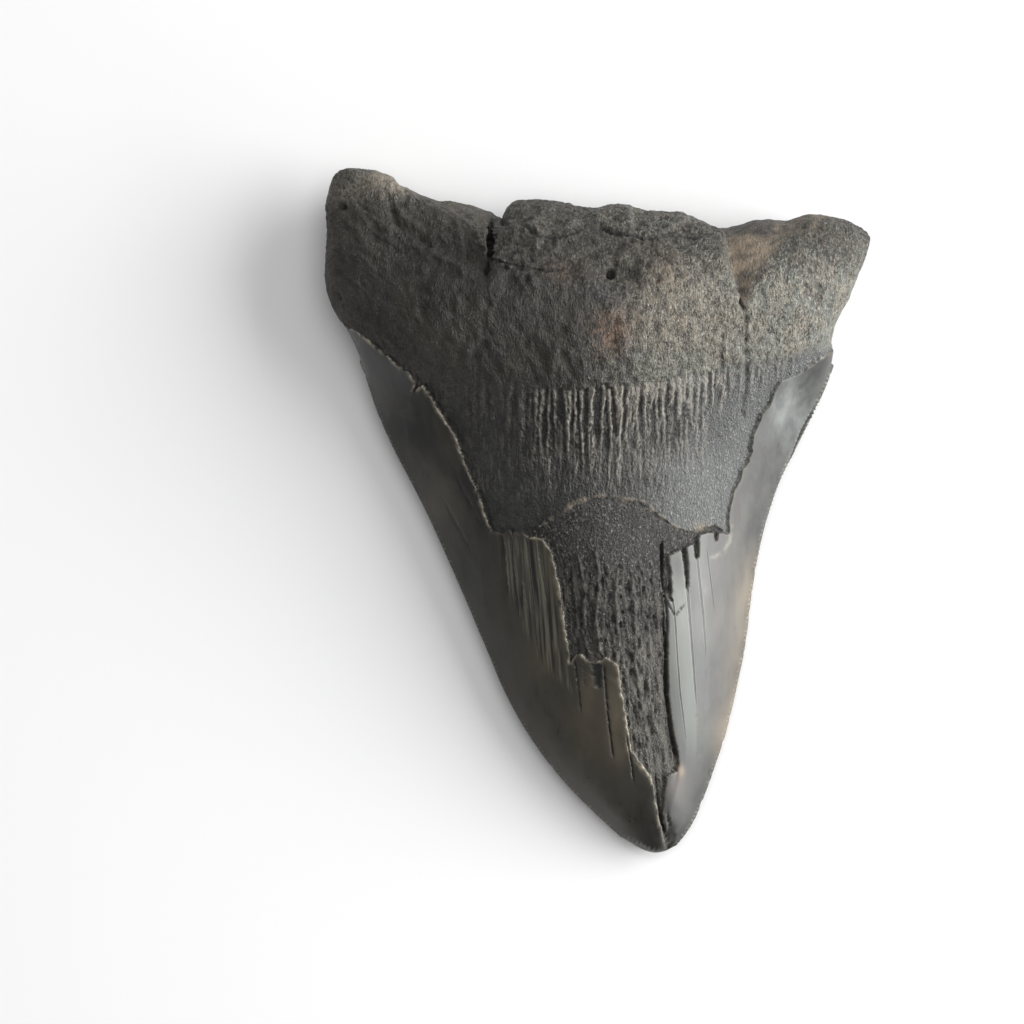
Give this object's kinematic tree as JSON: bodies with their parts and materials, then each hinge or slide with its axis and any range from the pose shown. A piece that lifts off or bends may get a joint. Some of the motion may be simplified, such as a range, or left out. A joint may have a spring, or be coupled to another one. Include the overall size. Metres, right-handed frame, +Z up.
{
  "type": "fossil shark tooth",
  "caption": "Large triangular fossil megalodon tooth with a worn root, a ribbed neck band and a broken enamel crown; a natural specimen to display or handle, lying flat.",
  "frame": {"origin": "under the middle of the tooth's bounding box, at the level it rests on", "axes": "+Y from the crown's tip towards the root, +Z up out of the domed lingual face, +X towards the distal edge, which is on the right when the root is away from the viewer"},
  "size_m": [0.0944, 0.119, 0.0269],
  "materials": {
    "fossil_tooth": "mineralised tooth: matt grey-black granular root and neck band, smooth satin grey enamel, rough bare dentine where enamel has broken off"
  },
  "bodies": {
    "root": {"tooth": "fossil_tooth"}
  },
  "joints": []
}
